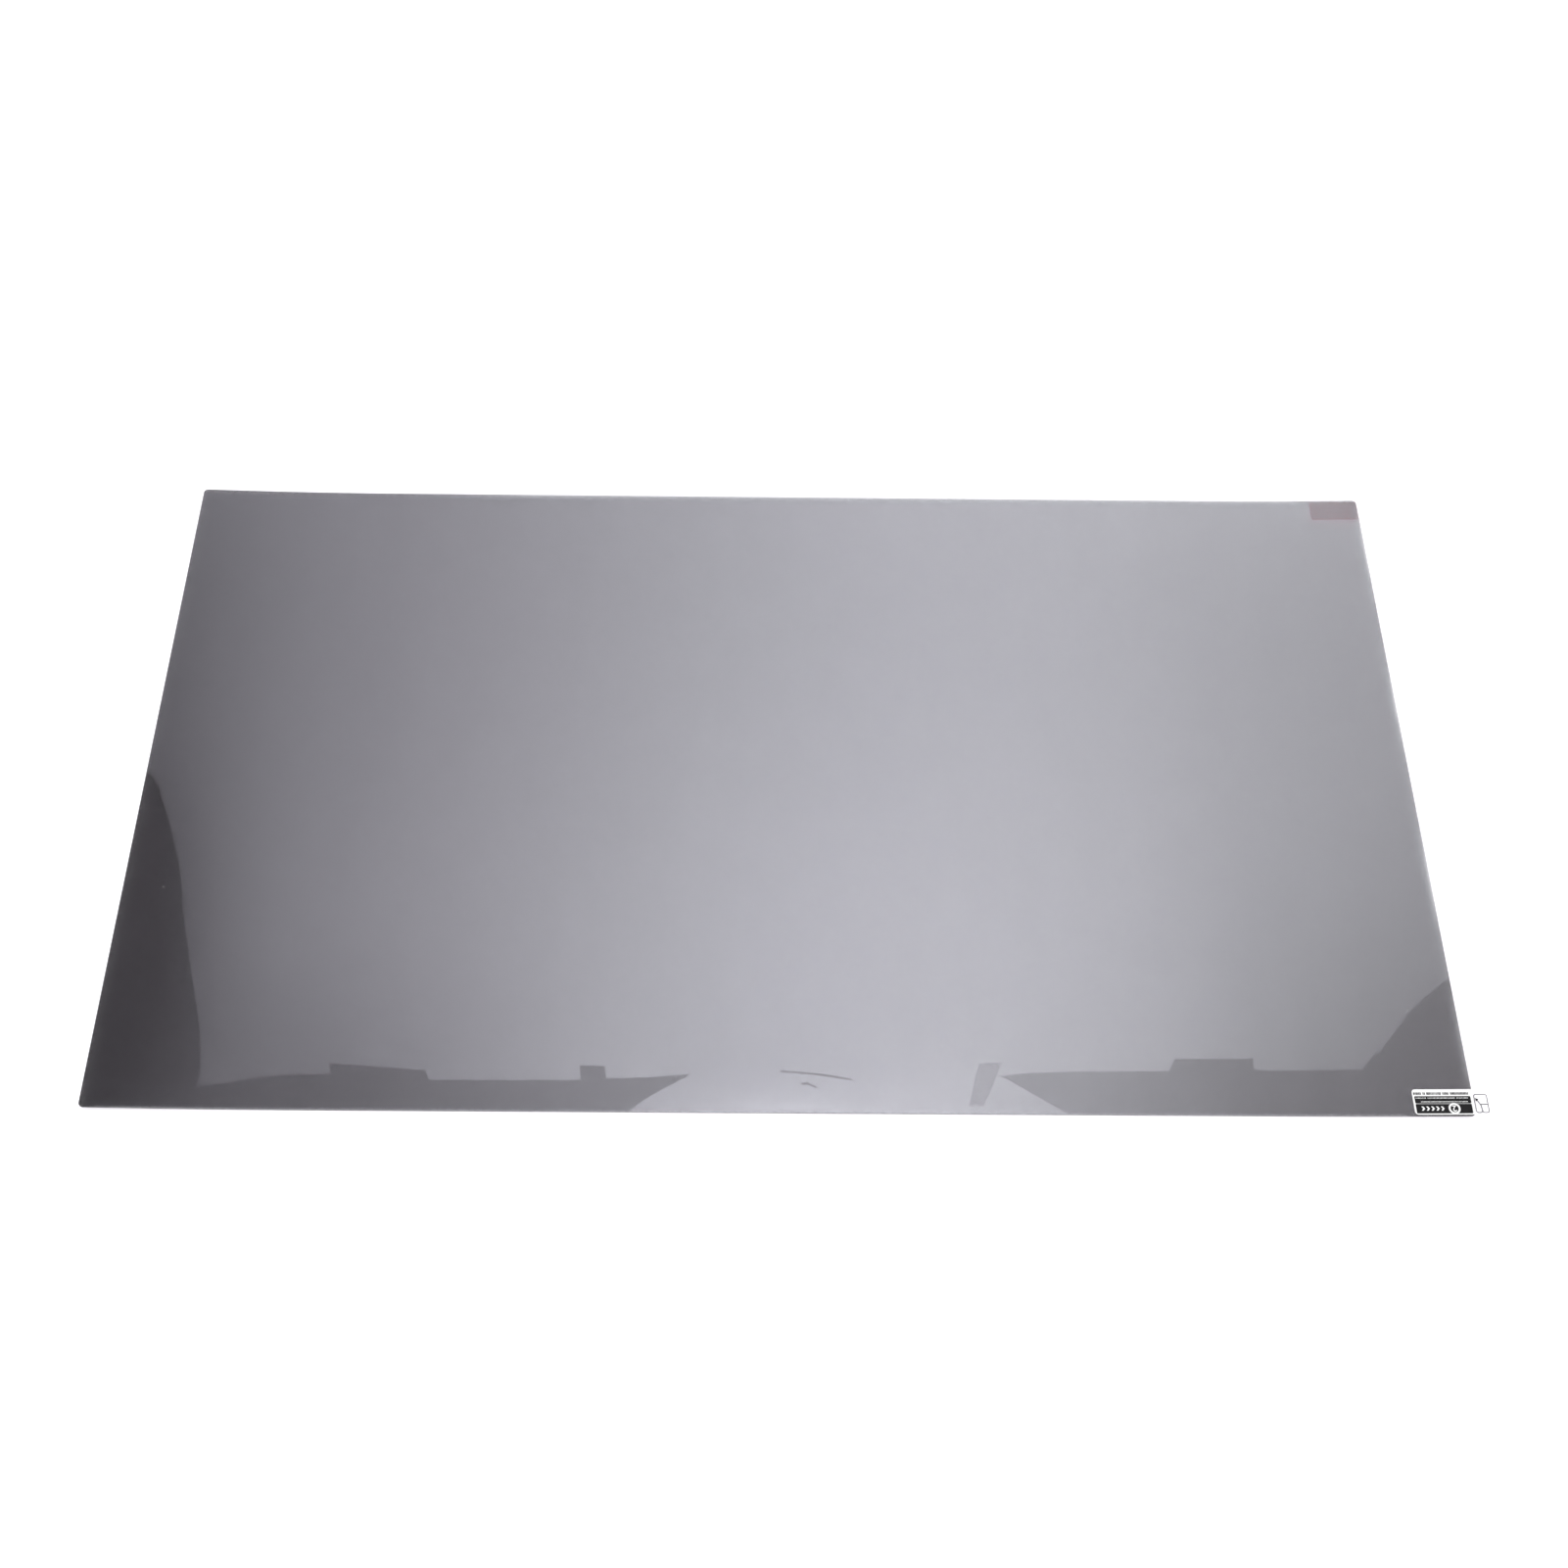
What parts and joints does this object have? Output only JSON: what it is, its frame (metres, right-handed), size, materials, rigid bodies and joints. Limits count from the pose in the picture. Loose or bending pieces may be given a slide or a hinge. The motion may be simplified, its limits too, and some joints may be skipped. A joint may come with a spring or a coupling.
{
  "type": "monitor privacy filter",
  "caption": "Thin dark louvre sheet for a wide monitor, with a clear protective film and a pull tab on each side, lying face up with its ends slightly curled.",
  "frame": {"origin": "middle of the sheet's long and short sides, on the face that goes against the screen, which is the face it rests on", "axes": "+X along the long side towards the pull tabs, +Y up the short side towards the top edge of the screen, +Z out of the viewer's side"},
  "size_m": [0.5397, 0.299, 0.0026],
  "materials": {
    "louvre_sheet": "dark grey, gloss",
    "front_film": "clear, high gloss",
    "back_film": "clear, gloss",
    "white_label": "white and black print on clear film",
    "red_label": "red print on clear film"
  },
  "bodies": {
    "root": {"filter_sheet": "louvre_sheet", "front_film": "front_film", "back_film": "back_film", "front_tab": "white_label", "back_tab": "red_label"}
  },
  "joints": []
}
